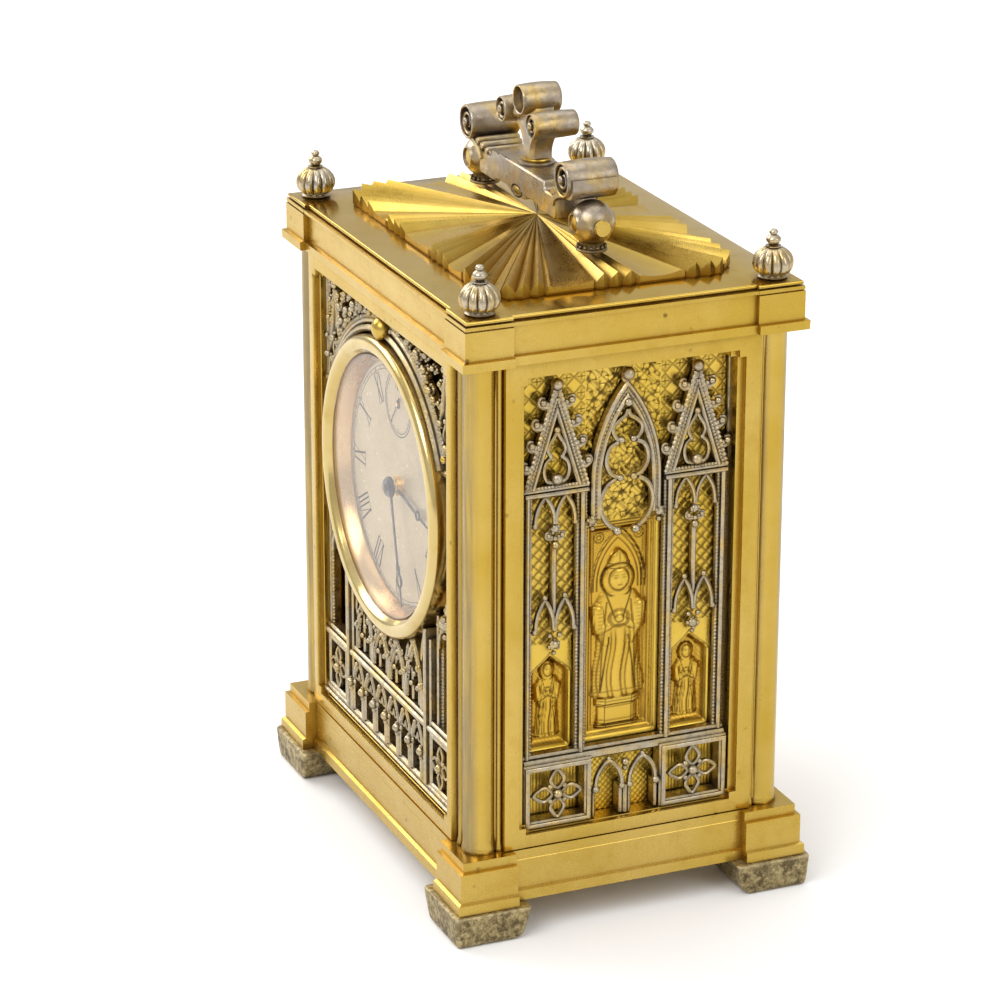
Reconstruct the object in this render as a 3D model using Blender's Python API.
"""Gilt-brass carriage clock in the Gothic manner, about 100 x 75 mm on plan and 154 mm high.

The dial faces -Y and the long axis of the carrying handle lies along X.  Flat parts of the four
sides are drawn as seen from outside: a across, b up, n outward from the middle of the case.
Lengths are in millimetres and become metres when a mesh is made.
"""
import math

import bpy
from mathutils import Vector
from mathutils.geometry import delaunay_2d_cdt

MM = 0.001

# ---- case ----
HALF_X, HALF_Y = 46.8, 34.45          # half widths over the cornice corner blocks
GAP = 0.05                            # fitting clearance between pieces that touch
FOOT_H, FOOT_X, FOOT_Y, FOOT_OUT = 6.6, 16.5, 14.5, 3.2
PLINTH_LEVELS = (                     # height, overhang past the cornice, middle recess
    (6.70, 2.30, 2.3), (8.67, 2.20, 2.3), (8.98, 1.55, 2.3),
    (14.84, 1.55, 2.3), (14.95, 0.70, 1.5), (16.90, 0.70, 1.5))
PLINTH_BLOCK = (36.0, 24.2)
CORNICE_LEVELS = (
    (114.50, 0.70, 1.0), (116.25, 0.80, 1.0), (116.45, 0.0, 1.0), (121.95, 0.0, 1.0),
    (122.00, -0.40, 0.6), (122.20, -0.40, 0.6), (122.25, -0.05, 0.06), (122.90, -0.10, 0.06))
CORNICE_BLOCK = (36.9, 24.8)
SLAB_Z0, SLAB_TOP = 122.95, 123.90
COLUMN_Z = (16.95, 114.45)
SHAFT_C, SHAFT_R, BEAD_R = (42.1, 29.75), 3.1, 0.55
FRAME_Z = (17.3, 113.8)
SIDE_FRAME, SIDE_OPEN = 26.0, 22.9
FRONT_FRAME, FRONT_OPEN = 37.2, 35.0
NOTCH = 1.4                           # stepped corner of every panel opening
SIDE_N, FRONT_N = 45.8, 33.44         # outer faces of the side and front frames
FRAME_DEPTH = 4.9

# ---- dial ----
DIAL_Z = 76.3
BEZEL_R, BEZEL_IN, BEZEL_N = 30.0, 26.7, 34.2
DIAL_R, DIAL_N = 26.3, 28.9
SECONDS_Z = 93.0

# ---- handle ----
PIVOT_Z, POST_X, BALL_R = 133.4, 25.7, 4.65
BAR_HALF, BAR_Y, BAR_Z = 18.6, 4.2, (132.2, 138.4)

# ---- rear door ----
HINGE = (-35.7, 31.9)
DOOR_IN, DOOR_OUT, DOOR_STILE = 30.3, 33.44, 6.2

# ---- movement ----
PLATE_FRONT, PLATE_BACK = (22.0, 23.5), (-6.5, -5.0)      # n of the two plates
GREAT_M, CENTRE_M, THIRD_M, FOURTH_M = 0.6, 0.5, 0.45, 0.4
MOTION_M, HOUR_M = 0.45, 0.48
CENTRE = Vector((0.0, DIAL_Z))
FOURTH = Vector((0.0, SECONDS_Z))
BARREL = CENTRE - Vector((0.0, (60 + 10) / 2 * GREAT_M))


def meeting_point(p, rp, q, rq, side):
    """Centre that lies rp from p and rq from q, on the chosen side of the line p to q."""
    line = q - p
    d = line.length
    along = (d * d + rp * rp - rq * rq) / (2 * d)
    off = math.sqrt(rp * rp - along * along)
    u = line / d
    return p + u * along + Vector((-u.y, u.x)) * off * side


THIRD = meeting_point(CENTRE, (48 + 6) / 2 * CENTRE_M, FOURTH, (45 + 6) / 2 * THIRD_M, 1)
ESCAPE = FOURTH + (48 + 6) / 2 * FOURTH_M * Vector((math.cos(0.70), math.sin(0.70)))
LEVER = ESCAPE + 8.2 * Vector((math.cos(2.62), math.sin(2.62)))
BALANCE = LEVER + 8.0 * Vector((math.cos(3.05), math.sin(3.05)))
MINUTE = CENTRE + Vector(((8 + 24) / 2 * MOTION_M, 0.0))

MATERIALS = {
    "gilt_brass": ((0.83, 0.60, 0.22, 1), 0.25, 1.0),
    "silvered_brass": ((0.62, 0.58, 0.50, 1), 0.35, 1.0),
    "aged_bronze": ((0.45, 0.41, 0.33, 1), 0.5, 1.0),
    "dial_silver": ((0.80, 0.77, 0.70, 1), 0.45, 0.6),
    "blued_steel": ((0.05, 0.07, 0.16, 1), 0.3, 1.0),
    "bright_steel": ((0.60, 0.60, 0.62, 1), 0.25, 1.0),
    "movement_brass": ((0.80, 0.62, 0.28, 1), 0.35, 1.0),
    "clear_glass": ((0.95, 0.97, 0.97, 1), 0.03, 0.0),
}

for old in list(bpy.data.objects):
    bpy.data.objects.remove(old, do_unlink=True)


# ------------------------------------------------------------------ mesh building
def material(name, kind):
    """A Principled material of its own for one piece."""
    colour, rough, metal = MATERIALS[kind]
    mat = bpy.data.materials.new(name + "." + kind)
    mat.use_nodes = True
    shader = mat.node_tree.nodes["Principled BSDF"]
    shader.inputs["Base Color"].default_value = colour
    shader.inputs["Roughness"].default_value = rough
    shader.inputs["Metallic"].default_value = metal
    if kind == "clear_glass":
        shader.inputs["Transmission Weight"].default_value = 1.0
    return mat


def add(name, verts, faces, kind, turn=0.0, at=(0, 0, 0), rot=None, smooth=False):
    """One named object from millimetre vertices; its origin goes to `at`."""
    mesh = bpy.data.meshes.new(name)
    mesh.from_pydata([Vector(v) * MM for v in verts], [], faces)
    mesh.validate()
    obj = bpy.data.objects.new(name, mesh)
    bpy.context.scene.collection.objects.link(obj)
    obj.location = Vector(at) * MM
    obj.rotation_euler = rot or (0, 0, math.radians(turn))
    if kind:
        mesh.materials.append(material(name, kind))
    for poly in mesh.polygons:
        poly.use_smooth = smooth
    outward(mesh)
    return obj


def outward(mesh):
    """Flip a closed mesh whose faces point inward."""
    volume = 0.0
    for poly in mesh.polygons:
        v = [mesh.vertices[i].co for i in poly.vertices]
        for k in range(1, len(v) - 1):
            volume += v[0].dot(v[k].cross(v[k + 1]))
    if volume < 0:
        mesh.flip_normals()


def ccw(loop):
    """The loop, turned counter-clockwise."""
    area = sum(a[0] * b[1] - b[0] * a[1] for a, b in zip(loop, loop[1:] + loop[:1]))
    return list(loop) if area > 0 else list(loop)[::-1]


class Shell:
    """Collects the faces of one closed body built from level loops."""

    def __init__(self):
        self.verts, self.faces = [], []

    def loop(self, points, h):
        first = len(self.verts)
        self.verts += [(p[0], p[1], h) for p in points]
        return list(range(first, first + len(points)))

    def wall(self, low, high):
        n = len(low)
        self.faces += [(low[i], low[(i + 1) % n], high[(i + 1) % n], high[i]) for i in range(n)]

    def fill(self, loops, up):
        """Flat face bounded by index loops: the first is the outside, the rest are holes."""
        flat = [i for loop in loops for i in loop]
        points = [Vector(self.verts[i][:2]) for i in flat]
        edges, first = [], 0
        for loop in loops:
            n = len(loop)
            edges += [(first + k, first + (k + 1) % n) for k in range(n)]
            first += n
        coords, _, faces, origin, _, _ = delaunay_2d_cdt(points, edges, [], 0, 1e-7)
        for face in faces:
            a, b, c = (coords[k] for k in face)
            if not inside((a + b + c) / 3, points, edges):
                continue
            tri = tuple(flat[origin[k][0]] for k in face)
            turn = (b - a).cross(c - a)
            self.faces.append(tri if (turn > 0) == up else tri[::-1])


def inside(p, points, edges):
    """Whether a point lies within an odd number of loops."""
    odd = False
    for i, j in edges:
        a, b = points[i], points[j]
        if (a.y > p.y) != (b.y > p.y) and p.x < a.x + (p.y - a.y) * (b.x - a.x) / (b.y - a.y):
            odd = not odd
    return odd


def stack(name, sections, kind, bore=None, at=None, **put):
    """Body made of prisms piled along h.  A section is (outline, h0, h1[, window loops])."""
    shell = Shell()
    levels = []
    for section in sections:
        outline, h0, h1 = ccw(section[0]), section[1], section[2]
        windows = [ccw(w)[::-1] for w in (section[3] if len(section) > 3 else [])]
        low, high = shell.loop(outline, h0), shell.loop(outline, h1)
        shell.wall(low, high)
        low_w = [shell.loop(w, h0) for w in windows]
        high_w = [shell.loop(w, h1) for w in windows]
        for lo, hi in zip(low_w, high_w):
            shell.wall(lo, hi)
        levels.append((low, high, low_w, high_w, outline))
    bore_low = bore_high = None
    if bore:
        ring = ccw(bore)[::-1]
        bore_low, bore_high = shell.loop(ring, sections[0][1]), shell.loop(ring, sections[-1][2])
        shell.wall(bore_low, bore_high)
    shell.fill([levels[0][0]] + levels[0][2] + ([bore_low] if bore else []), False)
    shell.fill([levels[-1][1]] + levels[-1][3] + ([bore_high] if bore else []), True)
    for (_, high, _, high_w, under), (low, _, low_w, _, over) in zip(levels, levels[1:]):
        if reach(under) > reach(over):
            shell.fill([high, low] + high_w, True)
        else:
            shell.fill([low, high] + low_w, False)
    if at is not None:
        put.update(at=(at[0], 0, at[1]), rot=(math.pi / 2, 0, 0))
    return add(name, shell.verts, shell.faces, kind, **put)


def reach(outline):
    """Largest distance of an outline from its axis."""
    return max(math.hypot(*p) for p in outline)


def plate(name, loops, n0, n1, kind, turn=0.0, **put):
    """Flat panel piece: an outside loop and hole loops in (a, b), thick from n0 to n1 outward."""
    shell = Shell()
    loops = [ccw(loops[0])] + [ccw(h)[::-1] for h in loops[1:]]
    low, high = [shell.loop(p, n0) for p in loops], [shell.loop(p, n1) for p in loops]
    for lo, hi in zip(low, high):
        shell.wall(lo, hi)
    shell.fill(low, False)
    shell.fill(high, True)
    verts = [(a, -n, b) for a, b, n in shell.verts]
    return add(name, verts, shell.faces, kind, turn=turn, **put)


def ring_loft(name, levels, kind, inner=None, **put):
    """Moulded block: (outline, z) levels joined by walls, with an optional straight hole."""
    shell = Shell()
    rings = [shell.loop(ccw(outline), z) for outline, z in levels]
    for low, high in zip(rings, rings[1:]):
        shell.wall(low, high)
    holes = [[], []]
    if inner:
        hole = ccw(inner)[::-1]
        holes = [[shell.loop(hole, levels[0][1])], [shell.loop(hole, levels[-1][1])]]
        shell.wall(holes[0][0], holes[1][0])
    shell.fill([rings[0]] + holes[0], False)
    shell.fill([rings[-1]] + holes[1], True)
    return add(name, shell.verts, shell.faces, kind, **put)


def turned(name, profile, kind, segs=16, closed=False, **put):
    """Body of revolution about its own Z from (radius, height) points; closed makes a ring."""
    verts, faces, rings = [], [], []
    for r, h in profile:
        if r < 1e-6:
            rings.append([len(verts)])
            verts.append((0, 0, h))
        else:
            rings.append(list(range(len(verts), len(verts) + segs)))
            verts += [(r * math.cos(t), r * math.sin(t), h)
                      for t in (2 * math.pi * k / segs for k in range(segs))]
    pairs = list(zip(rings, rings[1:])) + ([(rings[-1], rings[0])] if closed else [])
    for low, high in pairs:
        for k in range(segs):
            j = (k + 1) % segs
            quad = [low[k % len(low)], low[j % len(low)], high[j % len(high)], high[k % len(high)]]
            quad = [q for i, q in enumerate(quad) if q not in quad[:i]]
            if len(quad) > 2:
                faces.append(quad)
    return add(name, verts, faces, kind, smooth=True, **put)


def boolean(obj, tool, operation):
    """Join a tool body to, or cut it from, a piece."""
    tool.hide_render = True
    tool.display_type = "WIRE"
    mod = obj.modifiers.new(operation.lower(), "BOOLEAN")
    mod.operation, mod.solver, mod.object = operation, "EXACT", tool


# ------------------------------------------------------------------ outlines
def rect(a, b0, b1):
    return [(-a, b0), (a, b0), (a, b1), (-a, b1)]


def circle(r, n=16, c=(0, 0), start=0.0):
    return [(c[0] + r * math.cos(start + 2 * math.pi * k / n),
             c[1] + r * math.sin(start + 2 * math.pi * k / n)) for k in range(n)]


def arc(c, r, t0, t1, n):
    """n points on an arc, angles in degrees."""
    return [(c[0] + r * math.cos(math.radians(t0 + (t1 - t0) * k / (n - 1))),
             c[1] + r * math.sin(math.radians(t0 + (t1 - t0) * k / (n - 1)))) for k in range(n)]


def cross(over, recess, block):
    """Plan of a moulding that breaks forward at the four corners."""
    hx, hy, (bx, by) = HALF_X + over, HALF_Y + over, block
    quarter = [(hx - recess, by), (hx, by), (hx, hy), (bx, hy), (bx, hy - recess)]
    left = [(-x, y) for x, y in reversed(quarter)]
    top = quarter + left
    return top + [(x, -y) for x, y in reversed(top)]


def notched(a, b0, b1, step=NOTCH):
    """Opening with a square step in each corner."""
    up = [(a, b0 + step), (a, b1 - step), (a - step, b1 - step), (a - step, b1)]
    left = [(-x, y) for x, y in reversed(up)]
    low = [(-a + step, b0 + step), (-a + step, b0), (a - step, b0), (a - step, b0 + step)]
    return up + left + low


def lancet(c, half, b0, spring, n=5):
    """Pointed-arch opening whose arcs are struck from the opposite springing."""
    right = arc((c - half, spring), 2 * half, 0, 60, n)
    left = [(2 * c - x, y) for x, y in reversed(right[:-1])]
    return [(c - half, b0), (c + half, b0)] + right + left


def petals(c, r, lobes=4, n=5, turn=0.0):
    """Foil opening of round lobes set about a centre."""
    half = 180 / lobes
    lobe = r * 0.62
    points = []
    for k in range(lobes):
        t = turn + 360 * k / lobes
        p = (c[0] + (r - lobe) * math.cos(math.radians(t)),
             c[1] + (r - lobe) * math.sin(math.radians(t)))
        points += arc(p, lobe, t - half - 22, t + half + 22, n)
    return points


def gear(teeth, module, tip=0.85, root=1.3, at_root=0.27, at_tip=0.10, phase=0.0):
    """Straight-flanked wheel outline with one tooth centred on the phase angle."""
    pitch = 2 * math.pi / teeth
    r_tip, r_root = (teeth / 2 + tip) * module, (teeth / 2 - root) * module
    points = []
    for k in range(teeth):
        t = phase + k * pitch
        for r, off in ((r_root, -at_root), (r_tip, -at_tip), (r_tip, at_tip), (r_root, at_root)):
            points.append((r * math.cos(t + off * pitch), r * math.sin(t + off * pitch)))
    return points


def pinion(leaves, module, phase=0.0):
    return gear(leaves, module, tip=0.8, root=1.35, at_root=0.19, at_tip=0.13, phase=phase)


def toward(p, q):
    return math.atan2(q[1] - p[1], q[0] - p[0])


def gap_phase(teeth, angle):
    """Phase that puts a gap between teeth at an angle."""
    return angle + math.pi / teeth


def crossings(r_in, r_out, arms=4, start=0.4):
    """Windows left between the arms of a wheel."""
    loops = []
    for k in range(arms):
        mid = start + 2 * math.pi * k / arms
        wide, thin = math.pi / arms * 0.80, math.pi / arms * 0.60
        loops.append([(r_out * math.cos(mid + wide * s), r_out * math.sin(mid + wide * s))
                      for s in (-1, -0.4, 0.4, 1)] +
                     [(r_in * math.cos(mid + thin * s), r_in * math.sin(mid + thin * s))
                      for s in (1, -1)])
    return loops


# ------------------------------------------------------------------ base and cornice
def build_case():
    for fx, fy, name in ((-1, -1, "front_left"), (1, -1, "front_right"),
                         (-1, 1, "rear_left"), (1, 1, "rear_right")):
        foot(fx, fy, "foot_" + name)
        column(fx, fy, "column_" + name)
    ring_loft("base_plinth", [(cross(o, rec, PLINTH_BLOCK), z) for z, o, rec in PLINTH_LEVELS],
              "gilt_brass", inner=rect(38.6, -26.2, 26.2))
    ring_loft("base_plate", [(rect(38.3, -25.9, 25.9), 7.0), (rect(38.3, -25.9, 25.9), 8.4)],
              "gilt_brass")
    ring_loft("cornice", [(cross(o, rec, CORNICE_BLOCK), z) for z, o, rec in CORNICE_LEVELS],
              "gilt_brass", inner=rect(37.5, -25.5, 25.5))
    slab = [(-0.1, SLAB_Z0), (-0.1, SLAB_Z0 + 0.25), (-0.7, SLAB_TOP)]
    ring_loft("top_plate", [(rect(HALF_X + o, -HALF_Y - o, HALF_Y + o), z) for o, z in slab],
              "gilt_brass")


def foot(fx, fy, name):
    """Block foot under one corner, drawn in at the toe and the ends."""
    levels = []
    for z, out, inn in ((0.0, 1.0, 2.7), (0.35, 0.65, 2.0), (1.5, 0.4, 1.1),
                        (FOOT_H - 0.3, 0.0, 0.0), (FOOT_H, 0.35, 0.0)):
        x1, y1 = HALF_X + FOOT_OUT - out, HALF_Y + FOOT_OUT - out
        x0, y0 = HALF_X + FOOT_OUT - FOOT_X + inn, HALF_Y + FOOT_OUT - FOOT_Y + inn
        levels.append(([(fx * x0, fy * y0), (fx * x1, fy * y0), (fx * x1, fy * y1),
                        (fx * x0, fy * y1)], z))
    ring_loft(name, levels, "aged_bronze")


def column(fx, fy, name):
    """Clustered corner shaft: one bold round, two fillet beads and the post behind them."""
    cx, cy = SHAFT_C
    side_bead, front_bead = (cx + 2.1, cy - 3.15), (cx - 3.15, cy + 2.35)
    outline = [(cx - 3.7, cy - 3.7)]
    outline += arc(side_bead, BEAD_R, -90, 90, 5)
    outline += arc((cx, cy), SHAFT_R, -48, 138, 13)
    outline += arc(front_bead, BEAD_R, 0, 180, 5)
    outline = [(fx * x, fy * y) for x, y in outline]
    ring_loft(name, [(outline, COLUMN_Z[0]), (outline, COLUMN_Z[1])], "silvered_brass")


# ------------------------------------------------------------------ side panels
def side_tracery_loops():
    """Gothic window: two gabled side lights, a tall pointed middle light, and a base of squares."""
    loops = [notched(21.3, 20.0, 111.2, 1.2)]
    for s in (-1, 1):
        c = s * 14.5
        loops.append(petals((s * 14.2, 26.4), 4.9))
        loops.append(lancet(s * 3.9, 2.5, 21.2, 28.2))
        for half in (-1, 1):
            x = c + half * 2.6
            loops.append(lancet(x, 1.85, 35.2, 60.0, 4))
            loops.append(lancet(x, 1.85, 67.0, 80.5, 4))
        loops.append([(c - 4.4, 89.6), (c + 4.4, 89.6), (c, 103.0)])
        loops.append([(s * 21.0, 91.0), (s * 21.0, 109.6), (s * 17.2, 109.6), (s * 17.2, 105.0)])
        loops.append([(s * 8.2, 91.0), (s * 11.6, 105.0), (s * 11.6, 109.6), (s * 3.0, 109.6),
                      (s * 5.8, 101.0)])
    loops.append(petals((0, 97.6), 3.4, 3, 4, 90))
    loops.append(petals((0, 83.6), 4.9))
    loops.append([(-6.2, 35.2), (6.2, 35.2), (6.2, 77.0), (2.6, 74.4), (-2.6, 74.4), (-6.2, 77.0)])
    return loops


def build_sides():
    for turn, side in ((90, "right"), (270, "left")):
        plate(side + "_frame",
              [rect(SIDE_FRAME, *FRAME_Z), notched(SIDE_OPEN, 19.7, 111.5)],
              SIDE_N - FRAME_DEPTH, SIDE_N, "gilt_brass", turn)
        plate(side + "_tracery", side_tracery_loops(), 41.2, 43.0, "silvered_brass", turn)
        plate(side + "_engraved_panel", [rect(25.7, 17.5, 113.6)], 38.7, 39.75, "gilt_brass", turn)


# ------------------------------------------------------------------ front and dial
def front_tracery_loops():
    """Window tracery with a round hole for the dial."""
    loops = [notched(33.6, 20.8, 111.2, 1.2), circle(30.25, 40, (0, 76.6))]
    for s in (-1, 1):
        loops.append(petals((s * 27.2, 26.6), 4.2))
        for k in range(3):
            loops.append(lancet(s * (3.45 + 6.9 * k), 2.6, 22.0, 28.4, 4))
        for k in range(2):
            loops.append(lancet(s * (4.9 + 8.4 * k), 3.3, 35.6, 38.8, 4))
        loops.append([(s * 23.4, 35.6), (s * 31.8, 35.6), (s * 31.8, 53.0), (s * 27.6, 50.0),
                      (s * 23.4, 49.0)])
        loops.append([(s * 31.8, 100.0), (s * 31.8, 109.6), (s * 16.0, 109.6), (s * 21.0, 104.6),
                      (s * 26.0, 99.0), (s * 28.6, 95.0)])
    return loops


def build_front():
    plate("front_frame", [rect(FRONT_FRAME, *FRAME_Z), notched(FRONT_OPEN, 19.7, 111.5)],
          FRONT_N - FRAME_DEPTH, FRONT_N, "gilt_brass")
    plate("front_tracery", front_tracery_loops(), 29.2, 31.0, "silvered_brass")
    plate("dial_surround", [rect(37.0, 17.5, 113.6), circle(24.0, 32, (0, DIAL_Z))],
          26.4, 27.35, "gilt_brass")
    face = dict(at=(0, 0, 76.6), rot=(math.pi / 2, 0, 0))
    turned("dial_bezel", [(BEZEL_R, 27.6), (BEZEL_R, 33.2), (29.2, BEZEL_N), (27.4, BEZEL_N),
                          (BEZEL_IN, 33.5), (25.75, 29.2), (BEZEL_IN, 29.1), (BEZEL_IN, 27.6)],
           "gilt_brass", 48, closed=True, **face)
    turned("dial_glass", [(0, 32.3), (26.2, 32.3), (26.2, 32.9), (0, 33.3)], "clear_glass", 40,
           **face)
    plate("dial", [circle(DIAL_R, 48, (0, DIAL_Z)), circle(2.6, 16, (0, DIAL_Z)),
                   circle(0.9, 10, (0, SECONDS_Z))], 28.1, DIAL_N, "dial_silver")


# ------------------------------------------------------------------ top ornament and finials
GROUPS = (0.0, 27.0, 41.5, 66.5)      # bearings of the reeded rays in one quarter, degrees
APEX, RIDGE, SCOOP, FAN_X, FAN_Y, CHAMFER = 4.8, 3.2, 1.6, 37.5, 25.3, 4.0


def fan_edge(t):
    """Distance from the centre to the rectangular rim with cut corners."""
    c, s = abs(math.cos(t)), abs(math.sin(t))
    cut = (FAN_X + FAN_Y - CHAMFER) / (c + s)
    return min(FAN_X / max(c, 1e-9), FAN_Y / max(s, 1e-9), cut)


def build_fan():
    """Sunburst of reeded rays with hollow scoops between them."""
    quarter = list(GROUPS)
    bearings = sorted({round(x % 360, 3) for g in quarter for x in (g, -g, 180 - g, 180 + g)})
    rim = []
    for k, g in enumerate(bearings):
        nxt = bearings[(k + 1) % len(bearings)] + (360 if k + 1 == len(bearings) else 0)
        half = 4.4 / fan_edge(math.radians(g))
        half_next = 4.4 / fan_edge(math.radians(nxt))
        start, end = math.radians(g) + half, math.radians(nxt) - half_next
        for i, h in enumerate((RIDGE, 2.5, RIDGE, 2.5, RIDGE)):
            rim.append((math.radians(g) + half * (i - 2) / 2.0, h))
        for f in (0.2, 0.5, 0.8):
            rim.append((start + (end - start) * f, SCOOP if f == 0.5 else SCOOP + 0.5))
    z0 = SLAB_TOP + GAP
    verts = [(0, 0, SLAB_TOP + APEX), (0, 0, z0)]
    n = len(rim)
    for t, h in rim:
        r = fan_edge(t)
        verts += [(r * math.cos(t), r * math.sin(t), SLAB_TOP + h),
                  (r * math.cos(t), r * math.sin(t), z0)]
    faces = []
    for k in range(n):
        a, b = 2 + 2 * k, 2 + 2 * ((k + 1) % n)
        faces += [(0, a, b), (a, a + 1, b + 1, b), (1, b + 1, a + 1)]
    add("top_fan", verts, faces, "gilt_brass")


def build_finials():
    z0 = SLAB_TOP + GAP
    profile = [(0, 0), (2.4, 0), (2.7, 0.6), (3.7, 1.7), (3.95, 3.2), (3.4, 4.8), (1.9, 6.0),
               (1.0, 6.5), (1.4, 7.6), (0.7, 8.6), (0.85, 9.3), (0, 10.1)]
    for fx, fy, name in ((-1, -1, "front_left"), (1, -1, "front_right"),
                         (-1, 1, "rear_left"), (1, 1, "rear_right")):
        turned("finial_" + name, profile, "silvered_brass", 12, at=(fx * 42.5, fy * 30.5, z0))


# ------------------------------------------------------------------ handle
def build_handle():
    for s, side in ((-1, "left"), (1, "right")):
        ball = [(0, 127.95), (2.9, 127.95), (2.9, 128.45), (2.3, 129.35)]
        ball += [(BALL_R * math.cos(math.radians(t)), PIVOT_Z + BALL_R * math.sin(math.radians(t)))
                 for t in (-52, -30, -10, 10, 30, 52, 70)] + [(0, PIVOT_Z + BALL_R)]
        post = turned("handle_post_" + side, [(r, h - PIVOT_Z) for r, h in ball],
                      "silvered_brass", 16, at=(s * POST_X, 0, PIVOT_Z))
        bore = turned("bore_" + side, [(0, -6), (1.0, -6), (1.0, 6), (0, 6)], None, 12,
                      at=(s * POST_X, 0, PIVOT_Z), rot=(0, math.pi / 2, 0))
        boolean(post, bore, "DIFFERENCE")
        turned("pivot_screw_" + side, [(0, 17.0), (0.92, 17.0), (0.92, 30.45), (1.7, 30.45),
                                       (1.5, 31.0), (0, 31.0)], "bright_steel", 12,
               at=(0, 0, PIVOT_Z), rot=(0, s * math.pi / 2, 0))

    top, low = BAR_Z[1] - PIVOT_Z, BAR_Z[0] - PIVOT_Z
    half = [(0, low - 0.2), (3.0, low - 0.2), (4.4, low + 0.7), (9.0, low + 0.7), (10.5, low),
            (BAR_HALF, low), (BAR_HALF, 3.2), (12.8, 3.3), (12.6, top), (0, top)]
    outline = half[1:-1] + [(-x, z) for x, z in reversed(half[1:-1])]
    bar = plate("handle", [outline], -BAR_Y, BAR_Y, "silvered_brass", at=(0, 0, PIVOT_Z))
    for s, side in ((-1, "left"), (1, "right")):
        strap = [(17.4, 2.0), (18.2, 2.0), (19.0, 3.6), (20.6, 4.9), (23.2, 5.75), (27.0, 5.35),
                 (28.0, 7.2), (23.5, 8.4), (18.2, 6.6), (16.8, 3.6)]
        boolean(bar, plate("strap_" + side, [[(s * x, z) for x, z in strap]], -3.6, 3.6, None,
                           at=(0, 0, PIVOT_Z)), "UNION")
        barrel = [(0, -5.2), (3.6, -5.2), (4.0, -4.6), (4.35, 0), (4.0, 4.6), (3.6, 5.2), (0, 5.2)]
        boolean(bar, turned("scroll_" + side, [(r * 0.92, h) for r, h in barrel], None, 16,
                            at=(s * 23.5, 0, PIVOT_Z + 9.0), rot=(math.pi / 2, 0, 0)), "UNION")
        boolean(bar, turned("curl_" + side, [(0, -4.6), (2.2, -4.6), (2.55, 0), (2.2, 4.6),
                                             (0, 4.6)], None, 12,
                            at=(s * 7.2, 0, 147.7), rot=(math.pi / 2, 0, 0)), "UNION")
        boolean(bar, turned("pin_hole_" + side, [(0, 16.8), (1.0, 16.8), (1.0, 22), (0, 22)], None,
                            12, at=(0, 0, PIVOT_Z), rot=(0, s * math.pi / 2, 0)), "DIFFERENCE")
    stem = [(-2.4, 4.4), (2.4, 4.4), (2.2, 7.0), (3.0, 9.5), (6.6, 12.0), (7.6, 13.6), (6.4, 15.0),
            (3.4, 15.2), (1.6, 17.6)]
    stem += [(-x, z) for x, z in reversed(stem[2:])]
    boolean(bar, plate("stem", [stem], -2.25, 2.25, None, at=(0, 0, PIVOT_Z)), "UNION")
    boolean(bar, turned("collar", [(0, -0.6), (3.4, -0.6), (3.4, 0.5), (2.9, 1.0), (0, 1.0)], None,
                        16, at=(0, 0, BAR_Z[1])), "UNION")
    boolean(bar, turned("crest", [(0, -4.0), (2.6, -4.0), (3.15, 0), (2.6, 4.0), (0, 4.0)], None,
                        14, at=(0, 0, 151.2), rot=(math.pi / 2, 0, 0)), "UNION")


# ------------------------------------------------------------------ rear door
def build_door():
    """One-piece door with a sunk field, swinging on two pins beside its left-hand edge."""
    hx, hy = HINGE
    face = (DOOR_IN + 1.1, DOOR_OUT)
    outer = [(-FRONT_FRAME - hx, FRAME_Z[0]), (FRONT_FRAME - hx, FRAME_Z[0]),
             (FRONT_FRAME - hx, FRAME_Z[1]), (-FRONT_FRAME - hx, FRAME_Z[1])]
    field = [(a - hx, b) for a, b in notched(FRONT_FRAME - DOOR_STILE, 23.0, 108.0)]
    shell = Shell()
    low, mid_hole = shell.loop(ccw(outer), DOOR_IN), shell.loop(ccw(field)[::-1], face[0])
    top, top_hole = shell.loop(ccw(outer), face[1]), shell.loop(ccw(field)[::-1], face[1])
    shell.wall(low, top)
    shell.wall(mid_hole, top_hole)
    holes = [[(c[0] + r * math.cos(t), c[1] + r * math.sin(t)) for t in
              (-2 * math.pi * k / 12 for k in range(12))]
             for c, r in (((-hx, BARREL[1]), 2.6), ((-hx, CENTRE[1]), 2.0))]
    holes_in = [shell.loop(h, DOOR_IN) for h in holes]
    holes_out = [shell.loop(h, face[0]) for h in holes]
    for lo, hi in zip(holes_in, holes_out):
        shell.wall(lo, hi)
    shell.fill([low] + holes_in, False)
    shell.fill([mid_hole[::-1]] + holes_out, True)
    shell.fill([top, top_hole], True)
    verts = [(a, n - hy, b) for a, b, n in shell.verts]
    door = add("rear_door", verts, shell.faces, "gilt_brass", at=(hx, hy, 0))
    for z0, z1, end in ((16.95, 19.3, "lower"), (111.8, 114.4, "upper")):
        turned("hinge_pin_" + end, [(0, z0), (0.8, z0), (0.8, z1), (0, z1)], "bright_steel", 12,
               at=(hx, hy, 0))
        boolean(door, turned("hinge_bore_" + end, [(0, z0 - 0.5), (0.9, z0 - 0.5),
                                                   (0.9, z1 + 0.3), (0, z1 + 0.3)], None, 12,
                             at=(hx, hy, 0)), "DIFFERENCE")
    knob = [(0, 0), (1.0, 0), (0.9, 0.8), (1.9, 1.3), (2.1, 2.0), (1.6, 2.7), (0, 3.0)]
    turned("rear_door_knob", [(r, h + DOOR_OUT + GAP) for r, h in knob], "gilt_brass", 14,
           at=(34.1, 0, 64.0), rot=(-math.pi / 2, 0, 0))


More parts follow.
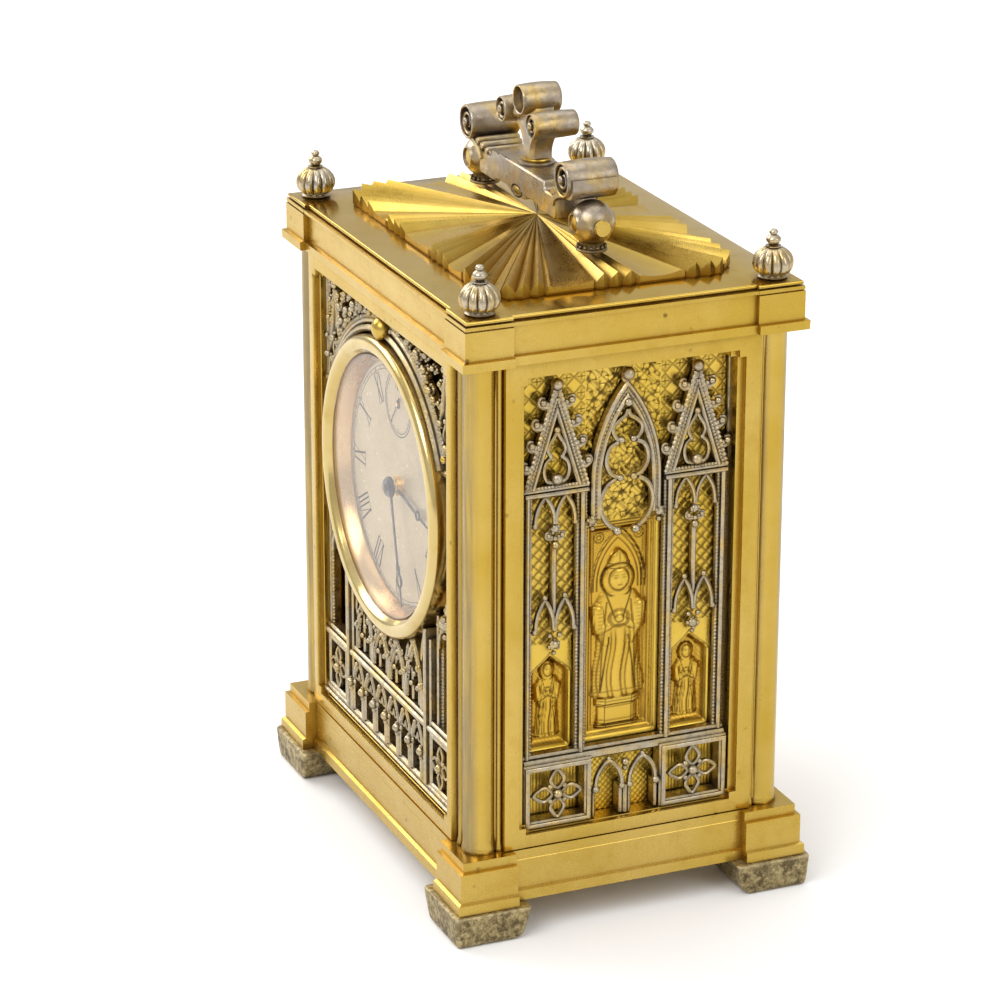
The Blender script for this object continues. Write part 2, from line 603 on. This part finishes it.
# ------------------------------------------------------------------ movement
def build_plates():
    holes = [(BARREL, 1.62), (CENTRE, 0.95), (THIRD, 0.6), (FOURTH, 0.6), (ESCAPE, 0.6),
             (LEVER, 0.6), (BALANCE, 0.6)]
    outline = [(-33, 8.6), (33, 8.6), (33, 112.9), (-33, 112.9)]
    for name, (n0, n1) in (("movement_front_plate", PLATE_FRONT),
                           ("movement_back_plate", PLATE_BACK)):
        extra = [(MINUTE, 0.72)] if n0 > 0 else []
        plate(name, [outline] + [circle(r, 10, tuple(c)) for c, r in holes + extra], n0, n1,
              "movement_brass")
    pillar = [(0, -4.95), (1.9, -4.95), (1.9, -3.2), (1.3, -2.4), (1.7, 8.5), (1.3, 19.4),
              (1.9, 20.2), (1.9, 21.95), (0, 21.95)]
    for sx, x in (("left", -29), ("right", 29)):
        for sz, z in (("lower", 22), ("upper", 106)):
            turned("pillar_%s_%s" % (sz, sx), pillar, "movement_brass", 10, at=(x, 0, z),
                   rot=(math.pi / 2, 0, 0))


def build_train():
    up = math.pi / 2
    rod = circle(1.5)
    stack("mainspring_barrel", [(gear(60, GREAT_M, phase=up), 4.9, 6.6),
                                (circle(16.4, 32), 6.6, 20.5)],
          "movement_brass", bore=circle(1.58), at=BARREL)
    square = circle(1.38, 4, start=up / 2)
    stack("winding_arbor", [(square, -20, -8.7), (rod, -8.7, 23.3)], "bright_steel", at=BARREL)
    stack("ratchet_wheel", [(ratchet(24, 6.4, 5.5), -8.2, -7.0)], "bright_steel",
          bore=circle(1.58), at=BARREL)
    stack("click", [(click_outline(), -8.2, -7.0)], "bright_steel", bore=circle(0.5, 8),
          at=BARREL + CLICK_OFF)

    s = toward(CENTRE, THIRD)
    stack("centre_wheel", [
        (circle(0.8, 12), -6.8, -4.6), (circle(1.3, 12), -4.6, 1.5),
        (gear(48, CENTRE_M, phase=s), 1.5, 2.5, crossings(3.2, 9.6)), (circle(1.3, 12), 2.5, 4.1),
        (pinion(10, GREAT_M, gap_phase(10, -up)), 4.1, 7.4), (circle(1.3, 12), 7.4, 21.8),
        (circle(0.85, 12), 21.8, 30.75)], "movement_brass", at=CENTRE)

    s, back = toward(THIRD, FOURTH), toward(THIRD, CENTRE)
    stack("third_wheel", [
        (circle(0.5, 10), -6.2, -4.8), (circle(0.8, 10), -4.8, -1.8),
        (gear(45, THIRD_M, phase=s), -1.8, -0.8, crossings(2.4, 8.1)), (circle(0.7, 10), -0.8, 0.4),
        (pinion(6, CENTRE_M, gap_phase(6, back)), 0.4, 3.6), (circle(0.6, 10), 3.6, 21.8),
        (circle(0.5, 10), 21.8, 23.2)], "movement_brass", at=THIRD)

    s, back = toward(FOURTH, ESCAPE), toward(FOURTH, THIRD)
    stack("fourth_wheel", [
        (circle(0.45, 10), -6.2, -4.8), (circle(0.6, 10), -4.8, -2.6),
        (pinion(6, THIRD_M, gap_phase(6, back)), -2.6, -0.2), (circle(0.5, 10), -0.2, 5.2),
        (gear(48, FOURTH_M, phase=s), 5.2, 6.2, crossings(2.2, 7.4)), (circle(0.7, 10), 6.2, 21.8),
        (circle(0.45, 10), 21.8, 29.15)], "movement_brass", at=FOURTH)

    back = toward(ESCAPE, FOURTH)
    stack("escape_wheel", [
        (circle(0.42, 10), -6.2, 4.4), (pinion(6, FOURTH_M, gap_phase(6, back)), 4.4, 7.0),
        (circle(0.42, 10), 7.0, 11.2), (escape_outline(), 11.2, 12.0, crossings(1.4, 3.3, 3)),
        (circle(0.42, 10), 12.0, 23.2)], "movement_brass", at=ESCAPE)
    stack("pallet_lever", [(circle(0.42, 10), -6.2, 11.3), (lever_outline(), 11.3, 12.1),
                           (circle(0.42, 10), 12.1, 23.2)], "bright_steel", at=LEVER)
    stack("balance_wheel", [
        (circle(0.42, 10), -6.2, 12.3), (circle(1.5, 12), 12.3, 12.9), (circle(0.6, 10), 12.9, 16.2),
        (circle(7.2, 32), 16.2, 17.2, crossings(1.3, 6.3, 2, 0.3)), (circle(0.42, 10), 17.2, 23.2)],
          "movement_brass", at=BALANCE)


def ratchet(teeth, r_tip, r_root):
    points = []
    for k in range(teeth):
        t = 2 * math.pi * k / teeth
        points += [(r_tip * math.cos(t), r_tip * math.sin(t)),
                   (r_root * math.cos(t + 0.03), r_root * math.sin(t + 0.03))]
    return points


CLICK_OFF = Vector((9.4, 3.6))


def click_outline():
    """Pawl: a round eye and a nose that stands just clear of the ratchet teeth."""
    return arc((0, 0), 1.3, -60, 150, 8) + [(-3.4, 2.2), (-3.9, 1.5), (-1.1, -0.9)]


def escape_outline():
    points = []
    for k in range(15):
        t = 2 * math.pi * k / 15
        for r, off in ((4.1, -0.10), (5.2, 0.02), (5.2, 0.07), (4.1, 0.10)):
            points.append((r * math.cos(t + off), r * math.sin(t + off)))
    return points


def lever_outline():
    """Anchor with two pallets round the escape wheel, and a forked tail toward the balance."""
    to_wheel = toward(LEVER, ESCAPE)
    d = (ESCAPE - LEVER).length
    centre = Vector((math.cos(to_wheel), math.sin(to_wheel))) * d
    back = to_wheel + math.pi
    outer = [centre + 6.9 * Vector((math.cos(back + t), math.sin(back + t)))
             for t in (-0.85, -0.45, 0.0, 0.45, 0.85)]
    inner = [centre + 5.75 * Vector((math.cos(back + t), math.sin(back + t)))
             for t in (0.85, 0.45, 0.0, -0.45, -0.85)]
    to_balance = toward(LEVER, BALANCE)
    u = Vector((math.cos(to_balance), math.sin(to_balance)))
    v = Vector((-u.y, u.x))
    tail = [v * -0.5 - u * 0.9, u * 5.4 - v * 0.5, u * 6.3 - v * 0.9, u * 5.6, u * 6.3 + v * 0.9,
            u * 5.4 + v * 0.5, v * 0.5 - u * 0.9]
    return [tuple(p) for p in outer[:2] + tail + outer[3:] + inner]


def build_motion_work():
    side = toward(CENTRE, MINUTE)
    stack("cannon_pinion", [
        (gear(8, MOTION_M, 0.8, 1.1, 0.19, 0.13, gap_phase(8, side)), 23.8, 25.4),
        (circle(1.22, 14), 25.4, 30.2), (circle(1.1, 14), 30.2, 30.9)],
          "bright_steel", bore=circle(0.92, 12), at=CENTRE)
    stack("hour_wheel", [(gear(24, HOUR_M, phase=side), 26.4, 27.2), (circle(2.0, 14), 27.2, 29.7)],
          "movement_brass", bore=circle(1.3, 14), at=CENTRE)
    stack("minute_wheel", [(circle(0.6, 10), 22.1, 24.2),
                           (gear(24, MOTION_M, phase=side + math.pi), 24.2, 25.2),
                           (pinion(6, HOUR_M, gap_phase(6, side + math.pi)), 25.2, 27.6)],
          "movement_brass", at=MINUTE)


def hand(name, clock_angle, stations, rings, n0, n1, bore_r, at):
    """Flat hand: (distance, half width) stations, and (distance, outer, inner) open rings."""
    t = math.radians(90 - clock_angle)
    u, v = Vector((math.cos(t), math.sin(t))), Vector((-math.sin(t), math.cos(t)))
    upper = []
    for d, w in stations:
        ring = next((q for q in rings if abs(q[0] - d) < 1e-6), None)
        if ring:
            upper += [(d + ring[1] * math.cos(math.radians(a)), ring[1] * math.sin(math.radians(a)))
                      for a in (160, 130, 90, 50, 20)]
        elif d == 0:
            upper += [(w * math.cos(math.radians(a)), w * math.sin(math.radians(a)))
                      for a in (165, 130, 95, 60, 25)]
        else:
            upper.append((d, w))
    outline = [u * d + v * w for d, w in upper] + [u * d - v * w for d, w in reversed(upper)]
    holes = [circle(q[2], 12, tuple(u * q[0])) for q in rings] + [circle(bore_r, 12)]
    stack(name, [([tuple(p) for p in outline], n0, n1, holes)], "blued_steel", at=at)


def build_hands():
    hand("hour_hand", 101.0, [(0, 2.6), (6.0, 0.45), (11.6, 0), (15.0, 0.35), (16.5, 0.05)],
         [(11.6, 1.35, 0.8)], 29.35, 29.65, 2.05, CENTRE)
    hand("minute_hand", 166.4, [(0, 1.9), (9.0, 0.4), (18.6, 0), (22.0, 0.3), (23.8, 0.05)],
         [(18.6, 1.2, 0.7)], 30.3, 30.6, 1.15, CENTRE)
    hand("seconds_hand", 215.0, [(0, 0.9), (3.2, 0.18), (5.2, 0.06)], [], 29.0, 29.15, 0.5, FOURTH)


build_case()
build_sides()
build_front()
build_fan()
build_finials()
build_handle()
build_door()
build_plates()
build_train()
build_motion_work()
build_hands()
